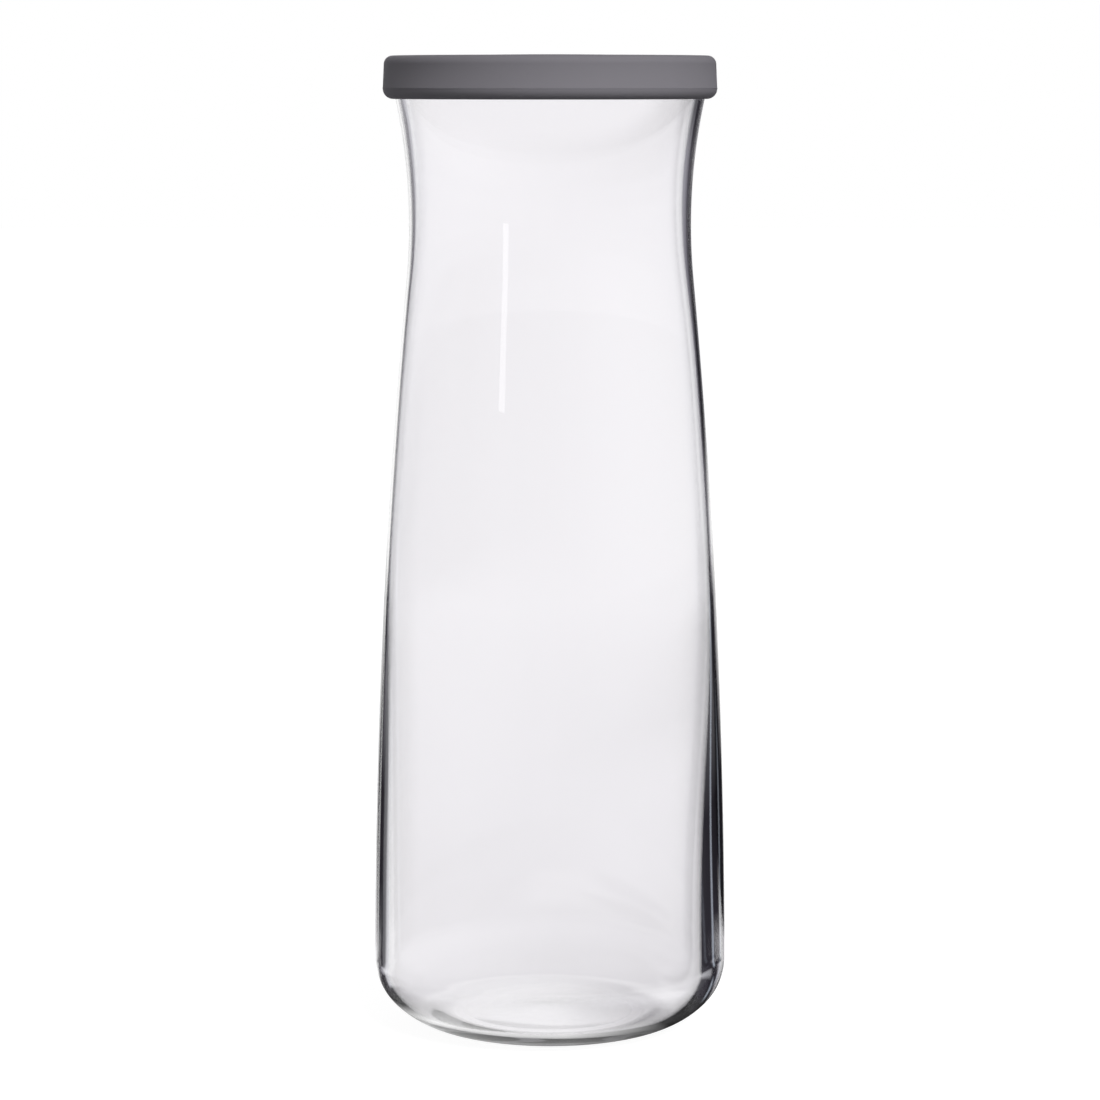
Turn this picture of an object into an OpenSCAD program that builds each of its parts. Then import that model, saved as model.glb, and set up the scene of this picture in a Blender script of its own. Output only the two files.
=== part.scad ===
// Glass carafe with a soft lid: a heavy-based water carafe that narrows to a waist, and a moulded lid
// that caps its rim. Lengths are in millimetres, and the carafe stands on z = 0 about the z axis.

/* [Carafe outline] */
// Outer radius of the body, at its widest place just above the rounded heel
body_radius = 49.5; // [46:0.1:53]
// Radius of the heel, the rounded edge between the side and the base
heel_round = 16.7; // [12:0.1:20]
// Radius of the flatter curve that carries the heel down to the foot
foot_round = 25.2; // [21:0.1:30]
// Radius of the long, barely bowed side
side_round = 2150; // [1500:10:4000]
// Height of the waist, the narrowest place
waist_height = 226; // [215:0.5:235]
// Outer radius at the waist
waist_radius = 39.05; // [36:0.05:41]
// Radius of the hollow curve through the waist and out to the collar
waist_round = 160; // [140:1:200]
// How far the flare spreads from the waist out to the collar that the lid goes over
flare_reach = 3.65; // [2:0.05:5]
// Radius that turns the flare up into the collar
collar_round = 6; // [4:0.1:9]
// Length of the straight collar, from the end of the flare up to the rim
collar_length = 7.95; // [6:0.05:12]

/* [Glass thickness] */
// Wall at the foot of the side, where the glass is heaviest
wall_heel = 5; // [4:0.1:7]
// Wall of the thin middle of the side
wall_middle = 1.1; // [0.8:0.1:2]
// Wall of the collar and the rim
wall_rim = 2.7; // [2:0.1:3.4]
// Height at which the wall has thinned to that of the middle
thin_from = 140; // [120:1:155]
// Height at which the wall starts to thicken again towards the collar
thin_to = 180; // [165:1:205]
// Height of the inner floor at its edge
floor_height = 5; // [4.5:0.1:8]
// Rise of the inner floor at its centre
floor_crown = 1; // [0:0.1:3]
// Radius between the inner floor and the wall
floor_round = 13; // [11:0.5:18]
// Depth of the hollow under the base
punt_depth = 0.6; // [0.3:0.1:2.5]
// Width of the flat ring that the carafe stands on
foot_width = 3; // [2:0.1:5]

/* [Lid] */
// Thickness of the top plate at its edge
lid_plate = 2.85; // [2:0.05:4]
// Rise of the top plate at its centre
lid_crown = 0.35; // [0:0.05:1]
// Radius of the upper edge
lid_edge_round = 2.4; // [1:0.1:3]
// Thickness of the skirt at the parting line
skirt_wall = 3.1; // [2.5:0.05:4]
// Depth of the skirt below the top plate
skirt_depth = 9; // [8:0.1:12]
// Width of the narrow flat under the skirt, inside its rounded lower edge
skirt_land = 0.3; // [0.2:0.05:1]
// Draft of the side above the parting line, in degrees
skirt_draft = 2.6; // [1:0.1:4]
// How far the mould's parting line stands proud
flash_proud = 0.14; // [0.05:0.01:0.3]
// Height of the parting line's ridge
flash_height = 0.3; // [0.2:0.05:0.5]

/* [Lid plug and seal] */
// Wall of the plug that stands inside the rim
plug_wall = 2; // [1.4:0.1:2.6]
// How much shorter the plug is than the skirt
plug_rise = 0.6; // [0:0.1:2]
// How far the sealing fins stand out from the plug
fin_reach = 1.3; // [0.8:0.1:1.8]
// Height of a fin at its root
fin_root = 1.5; // [1:0.1:2]
// Height of a fin at its rounded tip
fin_tip = 0.6; // [0.3:0.1:0.9]
// Number of sealing fins
fin_count = 2; // [1:1:3]

/* [Fit] */
// Clearance between the lid and the glass, at the sides and over the rim
fit_gap = 0.3; // [0.2:0.05:0.4]
// Fillet inside the groove that takes the rim
groove_fillet = 0.6; // [0.3:0.1:1]
// Fillet between the plug and the underside of the plate
plug_fillet = 1.5; // [0.5:0.1:2.5]

/* [Hidden] */

$fn = 96;
// Longest straight step along a curve, and widest turn from one step to the next
step_length = 5;
step_angle = 7.5;
// Normal angles, measured up from level, at which the heel hands over to the flatter curve
// and at which a curve faces straight down or straight up
heel_turn = -45;
facing_down = -90;
facing_up = 90;

// Rises smoothly from 0 to 1, level at both ends
function ease(share) = (1 - cos(180 * min(max(share, 0), 1))) / 2;

// How many steps an arc takes between two angles
function steps(radius, from, to) =
    max(1, ceil(abs(to - from) / step_angle), ceil(abs(radius * (to - from)) * PI / 180 / step_length));

// An arc as pairs of a point and its outward normal; a negative radius makes a hollow curve,
// and the first point is left out where the arc carries on from another
function arc(centre, radius, from, to, skip = 1) =
    let (count = steps(radius, from, to))
    [for (i = [skip : count])
        let (turn = from + (to - from) * i / count, normal = [cos(turn), sin(turn)])
        [centre + radius * normal, normal]];

// The points alone, of a list of such pairs
function points(stations) = [for (s = stations) s[0]];

function reverse(list) = [for (i = [len(list) - 1 : -1 : 0]) list[i]];

// Angle of the line from one point to another
function bearing(from, to) = atan2(to[1] - from[1], to[0] - from[0]);

// Point that lies at given distances from two others, on the left of the line that joins them
function apex(first, second, to_first, to_second) =
    let (
        span = norm(second - first),
        along = (to_first * to_first - to_second * to_second + span * span) / (2 * span),
        aside = sqrt(to_first * to_first - along * along),
        ahead = (second - first) / span
    )
    first + along * ahead + aside * [-ahead[1], ahead[0]];

// Centres of the curves, each tangent to the next from the foot up to the collar
curve_offset = foot_round - heel_round;
heel_centre = [body_radius - heel_round, foot_round + curve_offset * sin(heel_turn)];
foot_centre = [heel_centre[0] - curve_offset * cos(heel_turn), foot_round];
waist_centre = [waist_radius + waist_round, waist_height];
side_centre = apex(heel_centre, waist_centre, side_round - heel_round, side_round + waist_round);
flare_slant = waist_round + collar_round;
flare_across = flare_slant - flare_reach;
flare_up = sqrt(flare_slant * flare_slant - flare_across * flare_across);
collar_radius = waist_radius + flare_reach;
collar_centre = [collar_radius - collar_round, waist_height + flare_up];
rim_height = collar_centre[1] + collar_length;

// Normal angles at which the heel meets the side, the side the waist, and the waist the collar
heel_end = bearing(side_centre, heel_centre);
side_end = bearing(side_centre, waist_centre);
flare_end = bearing(collar_centre, waist_centre);

// The collar stands straight up to the round of the rim
rim_round = wall_rim / 2;
rim_centre = [collar_radius - rim_round, rim_height - rim_round];

outer_side = concat(
    arc(foot_centre, foot_round, facing_down, heel_turn, 0),
    arc(heel_centre, heel_round, heel_turn, heel_end),
    arc(side_centre, side_round, heel_end, side_end),
    arc(waist_centre, -waist_round, side_end, flare_end),
    arc(collar_centre, collar_round, flare_end, 0)
);

// The wall is heavy at the heel, thin in the middle and thicker again at the collar
floor_round_top = floor_height + floor_round;
function wall_at(height) =
    wall_middle
    + (wall_heel - wall_middle) * ease((thin_from - height) / (thin_from - floor_round_top))
    + (wall_rim - wall_middle) * ease((height - thin_to) / (collar_centre[1] - thin_to));

// The inside follows the outside at the wall's thickness, down to the round of the floor
inner_side = [for (s = outer_side) if (s[0][1] > floor_round_top) s[0] - wall_at(s[0][1]) * s[1]];
inner_radius = body_radius - wall_heel;
floor_edge = inner_radius - floor_round;
floor_centre = [floor_edge, floor_round_top];

// A shallow dome, level at its centre and at its edge, as points from the edge inwards
function dome(edge, height, rise) =
    let (count = steps(edge, 0, facing_up) / 2)
    [for (i = [0 : count]) [edge * (1 - i / count), height + rise * ease(i / count)]];

punt_edge = foot_centre[0] - foot_width;

module carafe_glass() {
    color([0.86, 0.89, 0.9, 0.35])
    rotate_extrude()
    polygon(concat(
        reverse(dome(punt_edge, 0, punt_depth)),
        points(outer_side),
        points(arc(rim_centre, rim_round, 0, 180, 0)),
        reverse(inner_side),
        points(arc(floor_centre, floor_round, 0, facing_down, 0)),
        dome(floor_edge, floor_height, floor_crown)
    ));
}

// The lid's levels hang from the rim, and its radii from the collar
plate_under = rim_height + fit_gap;
plate_top = plate_under + lid_plate;
skirt_bottom = plate_under - skirt_depth;
skirt_inside = collar_radius + fit_gap;
lid_radius = skirt_inside + skirt_wall;
skirt_round = skirt_wall - skirt_land;
parting_height = skirt_bottom + skirt_round + flash_height / 2;
skirt_centre = [lid_radius - skirt_round, skirt_bottom + skirt_round];

// The upper edge rounds the drafted side over into the plate
edge_height = plate_top - lid_edge_round;
edge_across = lid_radius - (edge_height - parting_height) * tan(skirt_draft) - lid_edge_round / cos(skirt_draft);
edge_centre = [edge_across, edge_height];

// The plug's fins reach to the clearance inside the rim
fin_radius = collar_radius - wall_rim - fit_gap;
plug_radius = fin_radius - fin_reach;
plug_inside = plug_radius - plug_wall;
plug_round = plug_wall / 2;
plug_bottom = skirt_bottom + plug_rise;
fin_round = fin_tip / 2;
fin_ground = plug_bottom + plug_round;
fin_pitch = (plate_under - groove_fillet - fin_ground) / fin_count;

// One sealing fin, from its upper root over the tip to its lower root
function fin(height) = concat(
    [[plug_radius, height + fin_root / 2]],
    points(arc([fin_radius - fin_round, height], fin_round, facing_up, facing_down, 0)),
    [[plug_radius, height - fin_root / 2]]
);

// The points of a fillet in an inner corner
function fillet(centre, radius, from, to) = points(arc(centre, radius, from, to, 0));

lid_outside = concat(
    reverse(dome(edge_across, plate_top, lid_crown)),
    points(arc(edge_centre, lid_edge_round, facing_up, skirt_draft)),
    [[lid_radius - flash_height / 2 * tan(skirt_draft), parting_height + flash_height / 2]],
    [[lid_radius + flash_proud, parting_height]],
    points(arc(skirt_centre, skirt_round, 0, facing_down, 0))
);

lid_groove = concat(
    [[skirt_inside, skirt_bottom + skirt_land]],
    fillet([skirt_inside - groove_fillet, plate_under - groove_fillet], groove_fillet, 0, facing_up),
    fillet([plug_radius + groove_fillet, plate_under - groove_fillet], groove_fillet, facing_up, 180)
);

lid_plug = concat(
    [for (i = [fin_count - 1 : -1 : 0]) each fin(fin_ground + (i + 1 / 2) * fin_pitch)],
    points(arc([plug_radius - plug_round, plug_bottom + plug_round], plug_round, 0, -180, 0)),
    fillet([plug_inside - plug_fillet, plate_under - plug_fillet], plug_fillet, 0, facing_up),
    [[0, plate_under]]
);

module lid() {
    color([0.42, 0.41, 0.43])
    rotate_extrude()
    polygon(concat(lid_outside, lid_groove, lid_plug));
}

carafe_glass();
lid();
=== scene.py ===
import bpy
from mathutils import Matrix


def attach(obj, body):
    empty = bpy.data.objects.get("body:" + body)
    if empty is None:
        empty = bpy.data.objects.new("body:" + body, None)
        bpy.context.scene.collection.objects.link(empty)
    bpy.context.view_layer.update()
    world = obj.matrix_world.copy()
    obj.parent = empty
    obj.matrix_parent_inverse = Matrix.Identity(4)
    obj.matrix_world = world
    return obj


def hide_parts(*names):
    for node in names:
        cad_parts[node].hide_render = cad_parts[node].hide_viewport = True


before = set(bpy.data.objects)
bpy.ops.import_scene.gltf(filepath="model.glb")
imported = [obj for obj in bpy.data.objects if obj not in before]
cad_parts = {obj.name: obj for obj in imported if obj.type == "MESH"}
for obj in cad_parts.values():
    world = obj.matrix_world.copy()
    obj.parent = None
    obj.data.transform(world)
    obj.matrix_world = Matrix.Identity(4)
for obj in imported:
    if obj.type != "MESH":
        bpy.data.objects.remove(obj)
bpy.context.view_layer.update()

from math import atan2, ceil, cos, degrees, pi, radians, sin, sqrt, tan

import bmesh
import bpy
from mathutils import Matrix, Vector

# Carafe outline, in metres and degrees
BODY_RADIUS = 0.0495
HEEL_ROUND = 0.0167
FOOT_ROUND = 0.0252
SIDE_ROUND = 2.15
WAIST_HEIGHT = 0.226
WAIST_RADIUS = 0.03905
WAIST_ROUND = 0.16
FLARE_REACH = 0.00365
COLLAR_ROUND = 0.006
COLLAR_LENGTH = 0.00795
HEEL_TURN = -45

# Glass thickness
WALL_HEEL = 0.005
WALL_MIDDLE = 0.0011
WALL_RIM = 0.0027
THIN_FROM = 0.140
THIN_TO = 0.180
FLOOR_HEIGHT = 0.005
FLOOR_CROWN = 0.001
FLOOR_ROUND = 0.013
PUNT_DEPTH = 0.0006
FOOT_WIDTH = 0.003

# Drift of the blown hollow off the axis along X, at the heel and along the side
HEEL_DRIFT = -0.001
SIDE_DRIFT = -0.00015
# Heights between which the drift goes over from the heel's to the side's, and from the side's to none
DRIFT_LEVELS = (0.030, 0.110, 0.235, 0.257)

# Lid
LID_PLATE = 0.00285
LID_CROWN = 0.00035
LID_EDGE_ROUND = 0.0024
SKIRT_WALL = 0.0031
SKIRT_DEPTH = 0.009
SKIRT_LAND = 0.0003
SKIRT_DRAFT = 2.6
FLASH_PROUD = 0.00014
FLASH_HEIGHT = 0.0003
PLUG_WALL = 0.002
PLUG_RISE = 0.0006
FIN_REACH = 0.0013
FIN_ROOT = 0.0015
FIN_TIP = 0.0006
FIN_COUNT = 2
FIT_GAP = 0.0003
GROOVE_FILLET = 0.0006
PLUG_FILLET = 0.0015

# Longest step and widest turn along a curve, steps in a quarter of the spin, and how near doubles merge
STEP_LENGTH = 0.0024
STEP_ANGLE = 2.9
QUARTER_STEPS = 60
MERGE = 0.000001

# Grains of the mould's surface to a millimetre
GRAINS_PER_MM = 3

# The studio in reflections: the tone of its walls by degrees round from straight behind, to the right
STUDIO_UPPER = [
    (-180, "#bcbcc0"), (-120, "#d0d0d4"), (-70, "#eaeaee"), (-45, "#fbfbff"), (-37, "#d4d4d8"),
    (-32.5, "#b4b2ba"), (-30, "#4c4a52"), (-25, "#4c4a52"), (-21, "#ffffff"), (2, "#ffffff"),
    (8, "#88868c"), (15, "#38363c"), (20, "#1e1c22"), (25, "#1e1c22"), (28, "#7c7a82"),
    (36.5, "#94929c"), (38.5, "#bcbcc0"), (50, "#cbcbcf"), (90, "#bcbcc0"), (130, "#b4b4b8"),
    (180, "#bcbcc0"),
]
STUDIO_MIDDLE = [
    (-180, "#bcbcc0"), (-120, "#e7e7eb"), (-70, "#f3f3f6"), (-45, "#fbfbff"), (-36, "#d4d4d8"),
    (-30.5, "#b4b2ba"), (-28, "#4c4a52"), (-24, "#4c4a52"), (-21, "#ffffff"), (14, "#ffffff"),
    (22, "#bcbac0"), (24.5, "#2a282e"), (33, "#2a282e"), (36, "#a0a0a4"), (50, "#bcbcc0"),
    (70, "#a0a0a4"), (90, "#808084"), (130, "#88888c"), (180, "#bcbcc0"),
]
STUDIO_LOWER = [
    (-180, "#bcbcc0"), (-120, "#fbfbff"), (-60, "#ffffff"), (-50, "#ffffff"), (-42, "#e7e7eb"),
    (-38, "#c0c0c4"), (-35, "#2a282e"), (-19, "#2a282e"), (-16, "#ffffff"), (11, "#ffffff"),
    (15.5, "#2e2c32"), (27.5, "#2e2c32"), (28.5, "#b4bcc8"), (30.5, "#b4bcc8"), (31.5, "#2e2c32"),
    (55, "#2e2c32"), (66, "#6c6c70"), (78, "#38383c"), (110, "#28282c"), (135, "#808084"),
    (180, "#bcbcc0"),
]
STUDIO_DEEP = [
    (-180, "#e7e7eb"), (-70, "#e7e7eb"), (-50, "#38363c"), (-30, "#2a282e"), (27.5, "#2a282e"),
    (28.5, "#b4bcc8"), (30.5, "#b4bcc8"), (31.5, "#2e2c32"), (50, "#2e2c32"), (70, "#e7e7eb"),
    (180, "#e7e7eb"),
]
# Each band of walls below the upper one, with the slopes, in degrees, between which it takes over
STUDIO_SLOPES = [(STUDIO_MIDDLE, -4, -5.5), (STUDIO_LOWER, -7.5, -9.5), (STUDIO_DEEP, -14.8, -17.2)]
FULL_TURN = 360

# The ceiling's tone, and the slopes at which it starts and is full
CEILING = "#8c8c90"
CEILING_FROM = 28
CEILING_FULL = 40

# The white seen through the glass, and the floor's strength there, near the foot and far behind it: a
# painted shadow, darker near the foot
THROUGH = "#fdfbfe"
THROUGH_SHADOWED = 0.91
THROUGH_FAR = 0.98
NEAR_FROM = 0.05
FAR_FROM = 0.7

# The table in reflections, by distance from the axis: a painted shadow under the foot, lit in a ring, then
# gone
TABLE_SHADOW_TO = 0.028
TABLE_WHITE_FROM = 0.040
TABLE_WHITE_TO = 0.058
TABLE_GONE_AT = 0.07
TABLE_SHADOW = 0.2
# The stretches of X over which painted shade makes it dark again to the left and to the right, and how dark
TABLE_LEFT = (-0.035, -0.05)
TABLE_RIGHT = (0.005, 0.035)
TABLE_SIDE_SHADE = 0.03

# The floor's own light and its shading to the camera, its grey to bounced light, and half its width
FLOOR_GLOW = 0.95
FLOOR_FAINT = 0.25
FLOOR_MATTE = 0.25
FLOOR_HALF = 6

# Plain light on matte surfaces, plain white, and the count of bounces that parts none from one
PLAIN_LIGHT = 0.2
WHITE = (1, 1, 1, 1)
ONCE = 0.5

# Lamps: place, target, width and height, and watts
STRIP_LEFT = ((-0.273, -0.398, 0.2405), (0, 0, 0.24), (0.0365, 0.069), 0.0168)
SOFT_KEY = ((0.66, -1.3, 1.35), (0, 0, 0.2), (0.9, 0.9), 40)

# The camera's place, what it aims at, and its sensor and lens in millimetres
VIEWPOINT = (0, -1.08, 0.2645)
AIM = (0, 0, 0.1345)
SENSOR = 36
LENS = 127.25

# Mirror-like bounces that a ray may make, and bounces of every kind allowed for each of them
GLASS_BOUNCES = 6
BOUNCES_EACH = 3


def ease(share):
    """Rises smoothly from 0 to 1, level at both ends."""
    return (1 - cos(pi * min(max(share, 0), 1))) / 2


def facing(turn):
    """The direction at an angle above level, as (outwards, up)."""
    return Vector((cos(radians(turn)), sin(radians(turn))))


def arc(centre, radius, start, end, skip=1):
    """An arc as pairs of a point and its normal; a negative radius makes a hollow curve."""
    sweep = abs(end - start)
    count = max(1, ceil(sweep / STEP_ANGLE), ceil(abs(radius) * radians(sweep) / STEP_LENGTH))
    turns = [start + (end - start) * i / count for i in range(skip, count + 1)]
    return [(centre + radius * facing(turn), facing(turn)) for turn in turns]


def points(stations):
    return [point for point, normal in stations]


def bearing(start, end):
    """Angle above level of the line from one point to another."""
    return degrees(atan2(end.y - start.y, end.x - start.x))


def apex(first, second, to_first, to_second):
    """The point at given distances from two others, on the left of the line that joins them."""
    span = (second - first).length
    along = (to_first ** 2 - to_second ** 2 + span ** 2) / (2 * span)
    aside = sqrt(to_first ** 2 - along ** 2)
    ahead = (second - first) / span
    return first + along * ahead + aside * Vector((-ahead.y, ahead.x))


def dome(edge, height, rise):
    """A shallow dome, level at its centre and its edge, from the edge inwards."""
    count = ceil(edge / STEP_LENGTH) * 2
    return [Vector((edge * (1 - i / count), height + rise * ease(i / count))) for i in range(count + 1)]


# Centres of the outline's curves, each tangent to the next
curve_offset = FOOT_ROUND - HEEL_ROUND
heel_centre = Vector((BODY_RADIUS - HEEL_ROUND, FOOT_ROUND + curve_offset * sin(radians(HEEL_TURN))))
foot_centre = Vector((heel_centre.x - curve_offset * cos(radians(HEEL_TURN)), FOOT_ROUND))
waist_centre = Vector((WAIST_RADIUS + WAIST_ROUND, WAIST_HEIGHT))
side_centre = apex(heel_centre, waist_centre, SIDE_ROUND - HEEL_ROUND, SIDE_ROUND + WAIST_ROUND)
flare_slant = WAIST_ROUND + COLLAR_ROUND
flare_across = flare_slant - FLARE_REACH
collar_radius = WAIST_RADIUS + FLARE_REACH
flare_up = sqrt(flare_slant ** 2 - flare_across ** 2)
collar_centre = Vector((collar_radius - COLLAR_ROUND, WAIST_HEIGHT + flare_up))
rim_height = collar_centre.y + COLLAR_LENGTH
heel_end = bearing(side_centre, heel_centre)
side_end = bearing(side_centre, waist_centre)
flare_end = bearing(collar_centre, waist_centre)
rim_round = WALL_RIM / 2
rim_centre = Vector((collar_radius - rim_round, rim_height - rim_round))
corner_top = FLOOR_HEIGHT + FLOOR_ROUND
floor_edge = BODY_RADIUS - WALL_HEEL - FLOOR_ROUND
punt_edge = foot_centre.x - FOOT_WIDTH


def wall_at(height):
    """Thickness of the wall: heavy at the heel, thin in the middle, thicker again at the collar."""
    lower = ease((THIN_FROM - height) / (THIN_FROM - corner_top))
    upper = ease((height - THIN_TO) / (collar_centre.y - THIN_TO))
    return WALL_MIDDLE + (WALL_HEEL - WALL_MIDDLE) * lower + (WALL_RIM - WALL_MIDDLE) * upper


def drift(height):
    """How far the hollow lies off the axis: most at the heel, little along the side, none at the rim."""
    heel, side_low, side_high, rim = DRIFT_LEVELS
    to_side = ease((height - heel) / (side_low - heel))
    to_rim = 1 - ease((height - side_high) / (rim - side_high))
    return (HEEL_DRIFT + (SIDE_DRIFT - HEEL_DRIFT) * to_side) * to_rim


def glass_outline():
    """The glass's half section, from the centre of the hollow underside round to the centre of the floor."""
    outer = (
        arc(foot_centre, FOOT_ROUND, -90, HEEL_TURN, 0)
        + arc(heel_centre, HEEL_ROUND, HEEL_TURN, heel_end)
        + arc(side_centre, SIDE_ROUND, heel_end, side_end)
        + arc(waist_centre, -WAIST_ROUND, side_end, flare_end)
        + arc(collar_centre, COLLAR_ROUND, flare_end, 0)
    )
    inner = [point - wall_at(point.y) * normal for point, normal in outer if point.y > corner_top]
    rim = points(arc(rim_centre, rim_round, 0, 180, 0))
    outside = dome(punt_edge, 0, PUNT_DEPTH)[::-1] + points(outer) + rim
    corner = points(arc(Vector((floor_edge, corner_top)), FLOOR_ROUND, 0, -90, 0))
    hollow = inner[::-1] + corner + dome(floor_edge, FLOOR_HEIGHT, FLOOR_CROWN)
    return outside, hollow


# The lid's levels hang from the rim, and its radii from the collar
plate_under = rim_height + FIT_GAP
plate_top = plate_under + LID_PLATE
skirt_bottom = plate_under - SKIRT_DEPTH
skirt_inside = collar_radius + FIT_GAP
lid_radius = skirt_inside + SKIRT_WALL
skirt_round = SKIRT_WALL - SKIRT_LAND
parting_height = skirt_bottom + skirt_round + FLASH_HEIGHT / 2
edge_height = plate_top - LID_EDGE_ROUND
draft = radians(SKIRT_DRAFT)
edge_across = lid_radius - (edge_height - parting_height) * tan(draft) - LID_EDGE_ROUND / cos(draft)
fin_radius = collar_radius - WALL_RIM - FIT_GAP
plug_radius = fin_radius - FIN_REACH
plug_inside = plug_radius - PLUG_WALL
plug_round = PLUG_WALL / 2
plug_bottom = skirt_bottom + PLUG_RISE
fin_ground = plug_bottom + plug_round
fin_pitch = (plate_under - GROOVE_FILLET - fin_ground) / FIN_COUNT


def fin(height):
    """One sealing fin, from its upper root over the tip to its lower root."""
    tip = Vector((fin_radius - FIN_TIP / 2, height))
    roots = [Vector((plug_radius, height + side * FIN_ROOT / 2)) for side in (1, -1)]
    return roots[:1] + points(arc(tip, FIN_TIP / 2, 90, -90, 0)) + roots[1:]


def lid_outline():
    """The lid's half section, from the centre of its top round to the underside of the plate."""
    shell = (
        dome(edge_across, plate_top, LID_CROWN)[::-1]
        + points(arc(Vector((edge_across, edge_height)), LID_EDGE_ROUND, 90, SKIRT_DRAFT))
        + [Vector((lid_radius - FLASH_HEIGHT / 2 * tan(draft), parting_height + FLASH_HEIGHT / 2))]
        + [Vector((lid_radius + FLASH_PROUD, parting_height))]
        + points(arc(Vector((lid_radius - skirt_round, skirt_bottom + skirt_round)), skirt_round, 0, -90, 0))
    )
    groove_height = plate_under - GROOVE_FILLET
    groove = (
        [Vector((skirt_inside, skirt_bottom + SKIRT_LAND))]
        + points(arc(Vector((skirt_inside - GROOVE_FILLET, groove_height)), GROOVE_FILLET, 0, 90, 0))
        + points(arc(Vector((plug_radius + GROOVE_FILLET, groove_height)), GROOVE_FILLET, 90, 180, 0))
    )
    fins = [point for i in reversed(range(FIN_COUNT)) for point in fin(fin_ground + (i + 0.5) * fin_pitch)]
    plug = (
        points(arc(Vector((plug_radius - plug_round, plug_bottom + plug_round)), plug_round, 0, -180, 0))
        + points(arc(Vector((plug_inside - PLUG_FILLET, plate_under - PLUG_FILLET)), PLUG_FILLET, 0, 90, 0))
        + [Vector((0, plate_under))]
    )
    return shell + groove + fins + plug, []


def placed(name, data):
    """An object in the scene, for a mesh, a lamp or a camera."""
    thing = bpy.data.objects.new(name, data)
    bpy.context.scene.collection.objects.link(thing)
    return thing


def spun(name, outside, hollow, material, body, node, slot):
    """A solid of revolution from a half section, whose hollow may drift off the axis."""
    shape = bmesh.new()
    drifting = shape.verts.layers.int.new("drifting")
    ring = [shape.verts.new((point.x, 0, point.y)) for point in outside + hollow]
    for vert in ring[len(outside):]:
        vert[drifting] = 1
    edges = [shape.edges.new(pair) for pair in zip(ring, ring[1:])]
    bmesh.ops.spin(
        shape, geom=ring + edges, cent=(0, 0, 0), axis=(0, 0, 1), angle=pi / 2,
        steps=QUARTER_STEPS, use_merge=False, use_duplicate=False,
    )
    for axis in ("X", "Y"):
        part = shape.verts[:] + shape.edges[:] + shape.faces[:]
        bmesh.ops.mirror(shape, geom=part, matrix=Matrix.Identity(4), merge_dist=MERGE, axis=axis)
    bmesh.ops.remove_doubles(shape, verts=shape.verts, dist=MERGE)
    bmesh.ops.recalc_face_normals(shape, faces=shape.faces)
    for vert in shape.verts:
        if vert[drifting]:
            vert.co.x += drift(vert.co.z)
    mesh = bpy.data.meshes.new(name)
    shape.to_mesh(mesh)
    shape.free()
    mesh.polygons.foreach_set("use_smooth", [True] * len(mesh.polygons))
    mesh.materials.append(material)
    piece = placed(name, mesh)
    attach(piece, body)
    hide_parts(node)


def linear(hex_colour):
    """A hex sRGB colour as linear RGBA."""
    shares = [int(hex_colour[i:i + 2], 16) / 255 for i in (1, 3, 5)]
    return [s / 12.92 if s <= 0.04045 else ((s + 0.055) / 1.055) ** 2.4 for s in shares] + [1]


def add(tree, kind, settings=None, inputs=None, links=None):
    """Adds a node with its settings, its input values and the sockets that feed it."""
    node = tree.nodes.new(kind)
    for name, value in (settings or {}).items():
        setattr(node, name, value)
    for name, value in (inputs or {}).items():
        node.inputs[name].default_value = value
    for name, source in (links or {}).items():
        tree.links.new(source, node.inputs[name])
    return node


def new_material(name):
    material = bpy.data.materials.new(name)
    material.use_nodes = True
    material.node_tree.nodes.clear()
    return material


def soda_lime_glass():
    # Press-and-blown soda-lime glass, fire-polished: mirror smooth and clear, faintly grey where thick
    material = new_material("soda_lime_glass")
    tree = material.node_tree
    surface = add(tree, "ShaderNodeBsdfPrincipled", inputs={
        "Base Color": (1, 1, 1, 1), "Roughness": 0, "IOR": 1.52, "Transmission Weight": 1,
    })
    volume = add(tree, "ShaderNodeVolumeAbsorption", inputs={"Color": linear("#d8d4e0"), "Density": 9})
    add(tree, "ShaderNodeOutputMaterial", links={
        "Surface": surface.outputs["BSDF"], "Volume": volume.outputs["Volume"],
    })
    return material


def moulded_silicone():
    # Compression-moulded silicone rubber, dark grey: satin matte, with the fine grain of the mould
    material = new_material("moulded_silicone")
    tree = material.node_tree
    place = add(tree, "ShaderNodeTexCoord")
    grain = add(tree, "ShaderNodeTexNoise", inputs={"Scale": 1000 * GRAINS_PER_MM, "Detail": 2},
                links={"Vector": place.outputs["Object"]})
    bump = add(tree, "ShaderNodeBump", inputs={"Strength": 0.15, "Distance": 0.00003},
               links={"Height": grain.outputs["Fac"]})
    surface = add(tree, "ShaderNodeBsdfPrincipled", inputs={
        "Base Color": linear("#6b696e"), "Roughness": 0.7, "IOR": 1.41, "Specular IOR Level": 0.3,
    }, links={"Normal": bump.outputs["Normal"]})
    add(tree, "ShaderNodeOutputMaterial", links={"Surface": surface.outputs["BSDF"]})
    return material


def ray_kinds(tree):
    """The light path, and whether the ray has bounced off a matte surface and off a mirror-like one."""
    path = add(tree, "ShaderNodeLightPath")
    bounced, mirrored = [
        add(tree, "ShaderNodeMath", {"operation": "GREATER_THAN"}, {1: ONCE}, {0: path.outputs[depth]})
        for depth in ("Diffuse Depth", "Glossy Depth")]
    return path, bounced.outputs[0], mirrored.outputs[0]


def wall_band(tree, turn, stops_round):
    """One band of the studio's walls, as a ramp of tones by bearing."""
    ramp = add(tree, "ShaderNodeValToRGB", links={"Fac": turn})
    stops = ramp.color_ramp.elements
    stops.remove(stops[1])
    for i, (degrees_round, colour) in enumerate(stops_round):
        stop = stops.new(0.5 + degrees_round / FULL_TURN) if i else stops[0]
        stop.color = linear(colour)
    return add(tree, "ShaderNodeBackground", links={"Color": ramp.outputs["Color"]}).outputs[0]


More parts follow.
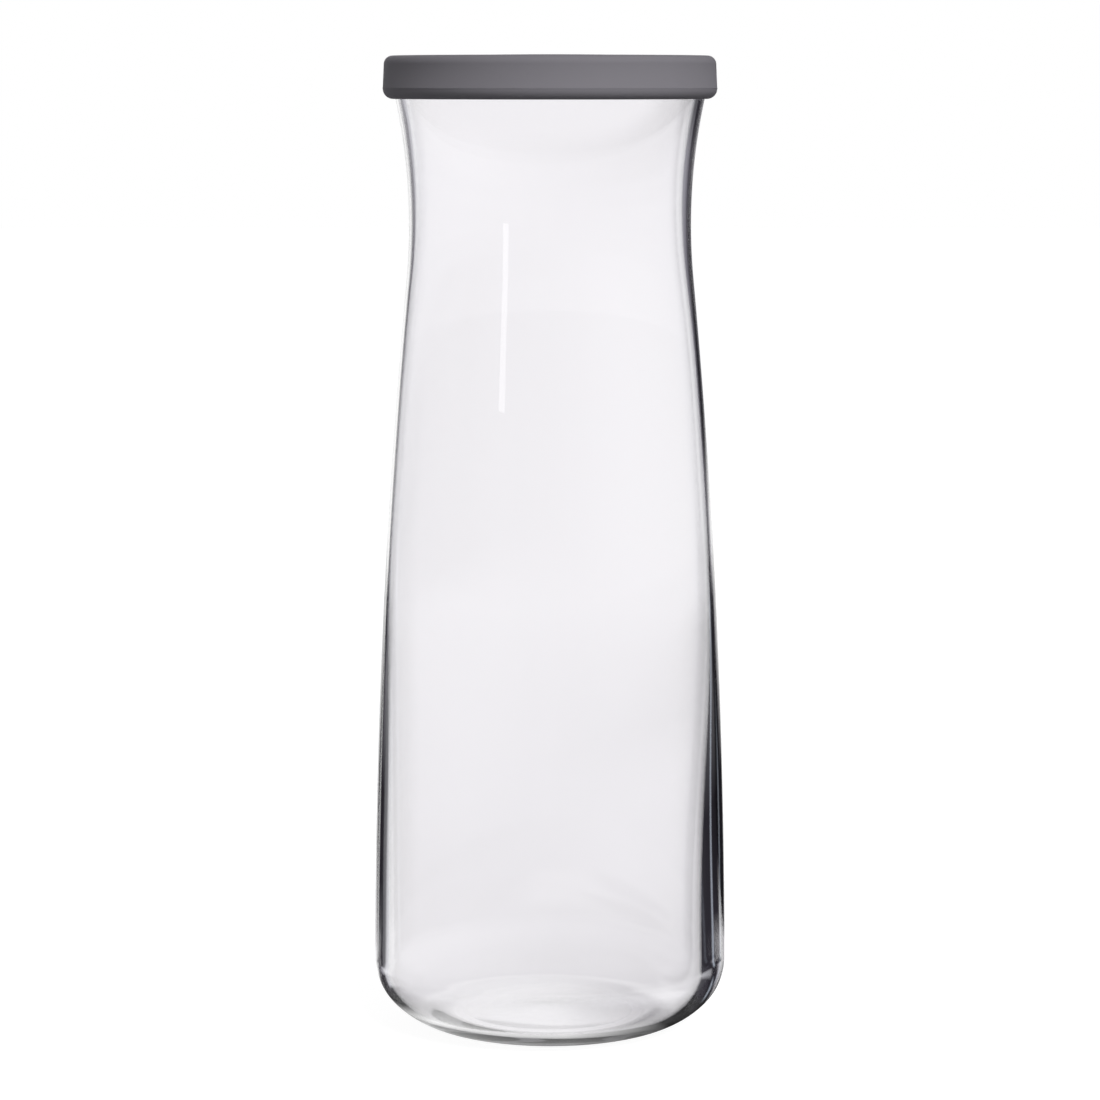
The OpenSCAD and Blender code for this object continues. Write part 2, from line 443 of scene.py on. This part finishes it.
def studio(tree):
    """The studio's walls, band below band, with the ceiling over them."""
    place = add(tree, "ShaderNodeTexCoord")
    direction = add(tree, "ShaderNodeSeparateXYZ", links={0: place.outputs["Generated"]})
    bearing_round = add(tree, "ShaderNodeMath", {"operation": "ARCTAN2"}, links={
        0: direction.outputs["X"], 1: direction.outputs["Y"]})
    turn = add(tree, "ShaderNodeMapRange", inputs={"From Min": -pi, "From Max": pi},
               links={"Value": bearing_round.outputs[0]}).outputs["Result"]
    walls = wall_band(tree, turn, STUDIO_UPPER)
    for stops_round, start, full in STUDIO_SLOPES:
        sunk = add(tree, "ShaderNodeMapRange", inputs={
            "From Min": sin(radians(start)), "From Max": sin(radians(full))},
            links={"Value": direction.outputs["Z"]})
        walls = add(tree, "ShaderNodeMixShader", links={
            0: sunk.outputs["Result"], 1: walls, 2: wall_band(tree, turn, stops_round)}).outputs[0]
    overhead = add(tree, "ShaderNodeMapRange", {"interpolation_type": "SMOOTHSTEP"}, {
        "From Min": sin(radians(CEILING_FROM)), "From Max": sin(radians(CEILING_FULL))},
        {"Value": direction.outputs["Z"]})
    ceiling = add(tree, "ShaderNodeBackground", inputs={"Color": linear(CEILING)})
    return add(tree, "ShaderNodeMixShader", links={
        0: overhead.outputs["Result"], 1: walls, 2: ceiling.outputs[0]}).outputs[0]


def build_world():
    """White behind the object, plain light on matte surfaces, and the studio in reflections."""
    world = bpy.data.worlds.new("studio")
    bpy.context.scene.world = world
    world.use_nodes = True
    tree = world.node_tree
    tree.nodes.clear()
    path, bounced, mirrored = ray_kinds(tree)
    white = add(tree, "ShaderNodeBackground", inputs={"Color": WHITE, "Strength": 1})
    light = add(tree, "ShaderNodeBackground", inputs={"Color": WHITE, "Strength": PLAIN_LIGHT})
    through = add(tree, "ShaderNodeBackground", inputs={"Color": linear(THROUGH)})
    backdrop = add(tree, "ShaderNodeMixShader", links={
        0: path.outputs["Is Transmission Ray"], 1: white.outputs[0], 2: through.outputs[0]})
    seen = add(tree, "ShaderNodeMixShader", links={0: mirrored, 1: backdrop.outputs[0], 2: studio(tree)})
    whole = add(tree, "ShaderNodeMixShader", links={0: bounced, 1: seen.outputs[0], 2: light.outputs[0]})
    add(tree, "ShaderNodeOutputWorld", links={"Surface": whole.outputs[0]})


def painted_table_shade(tree, reach, across):
    """The table that reflections see round the foot, with a painted shadow under the foot and painted shade
    to both sides, which fades out beyond its edge.
    """
    # Painted shadow under the foot, rising to white in a ring
    lit = add(tree, "ShaderNodeMapRange", inputs={
        "From Min": TABLE_SHADOW_TO, "From Max": TABLE_WHITE_FROM, "To Min": TABLE_SHADOW},
        links={"Value": reach})
    # Painted shade: darker again to the left and to the right
    left, right = [
        add(tree, "ShaderNodeMapRange", inputs={
            "From Min": start, "From Max": end, "To Min": 1, "To Max": TABLE_SIDE_SHADE}, links={"Value": across})
        for start, end in (TABLE_LEFT, TABLE_RIGHT)]
    sides = add(tree, "ShaderNodeMath", {"operation": "MULTIPLY"}, links={
        0: left.outputs["Result"], 1: right.outputs["Result"]})
    shaded = add(tree, "ShaderNodeMath", {"operation": "MULTIPLY"}, links={
        0: lit.outputs["Result"], 1: sides.outputs[0]})
    table = add(tree, "ShaderNodeEmission", inputs={"Color": WHITE}, links={"Strength": shaded.outputs[0]})
    clear = add(tree, "ShaderNodeBsdfTransparent")
    fade = add(tree, "ShaderNodeMapRange", inputs={"From Min": TABLE_WHITE_TO, "From Max": TABLE_GONE_AT},
               links={"Value": reach})
    return add(tree, "ShaderNodeMixShader", links={
        0: fade.outputs["Result"], 1: table.outputs[0], 2: clear.outputs[0]}).outputs[0]


def studio_floor():
    # Matte white studio floor: white to the camera, with a painted shadow near the foot through the glass
    # and a painted shadow and painted shade on the table in reflections, and it keeps the real shadow
    material = new_material("studio_floor")
    tree = material.node_tree
    path, bounced, mirrored = ray_kinds(tree)
    place = add(tree, "ShaderNodeTexCoord")
    reach = add(tree, "ShaderNodeVectorMath", {"operation": "LENGTH"}, links={0: place.outputs["Object"]})
    across = add(tree, "ShaderNodeSeparateXYZ", links={0: place.outputs["Object"]})
    glow = add(tree, "ShaderNodeEmission", inputs={"Color": WHITE, "Strength": FLOOR_GLOW})
    faint = add(tree, "ShaderNodeBsdfDiffuse", inputs={"Color": [FLOOR_FAINT] * 3 + [1]})
    matte = add(tree, "ShaderNodeBsdfDiffuse", inputs={"Color": [FLOOR_MATTE] * 3 + [1]})
    both = add(tree, "ShaderNodeAddShader", links={0: glow.outputs[0], 1: faint.outputs[0]})
    # Painted shadow: through the glass the floor glows less near the foot than far behind it
    depth = add(tree, "ShaderNodeMapRange", inputs={
        "From Min": NEAR_FROM, "From Max": FAR_FROM, "To Min": THROUGH_SHADOWED, "To Max": THROUGH_FAR},
        links={"Value": reach.outputs["Value"]})
    through = add(tree, "ShaderNodeEmission", inputs={"Color": linear(THROUGH)},
                  links={"Strength": depth.outputs["Result"]})
    direct = add(tree, "ShaderNodeMixShader", links={
        0: path.outputs["Is Transmission Ray"], 1: both.outputs[0], 2: through.outputs[0]})
    # The table seen in reflections carries a painted shadow and painted shade
    near = painted_table_shade(tree, reach.outputs["Value"], across.outputs["X"])
    seen = add(tree, "ShaderNodeMixShader", links={0: mirrored, 1: direct.outputs[0], 2: near})
    whole = add(tree, "ShaderNodeMixShader", links={0: bounced, 1: seen.outputs[0], 2: matte.outputs[0]})
    add(tree, "ShaderNodeOutputMaterial", links={"Surface": whole.outputs[0]})
    return material


def floor():
    """The studio's floor, level with the foot."""
    shape = bmesh.new()
    bmesh.ops.create_grid(shape, x_segments=1, y_segments=1, size=FLOOR_HALF)
    mesh = bpy.data.meshes.new("floor")
    shape.to_mesh(mesh)
    shape.free()
    mesh.materials.append(studio_floor())
    placed("floor", mesh)


def aimed(name, data, place, target):
    """A lamp or a camera at a place, turned towards a target."""
    thing = placed(name, data)
    thing.location = place
    thing.rotation_euler = (Vector(target) - Vector(place)).to_track_quat("-Z", "Y").to_euler()
    return thing


def lamp(name, place, target, size, power, glossy):
    """A soft rectangular lamp, either a strip for the highlights or plain soft light."""
    data = bpy.data.lights.new(name, "AREA")
    data.shape = "RECTANGLE"
    data.size, data.size_y = size
    data.energy = power
    thing = aimed(name, data, place, target)
    thing.visible_camera = False
    thing.visible_transmission = False
    thing.visible_glossy = glossy
    thing.visible_diffuse = not glossy


def camera():
    """The viewpoint just above the lid, looking slightly down."""
    data = bpy.data.cameras.new("camera")
    data.sensor_width = SENSOR
    data.lens = LENS
    bpy.context.scene.camera = aimed("camera", data, VIEWPOINT, AIM)


spun("carafe", *glass_outline(), soda_lime_glass(), "carafe", "carafe_glass", "clear_glass")
spun("soft_lid", *lid_outline(), moulded_silicone(), "lid", "lid", "grey_silicone")
build_world()
floor()
lamp("strip_left", *STRIP_LEFT, glossy=True)
lamp("soft_key", *SOFT_KEY, glossy=False)
camera()
bpy.context.scene.view_settings.view_transform = "Standard"
bpy.context.scene.cycles.glossy_bounces = GLASS_BOUNCES
bpy.context.scene.cycles.max_bounces = BOUNCES_EACH * GLASS_BOUNCES
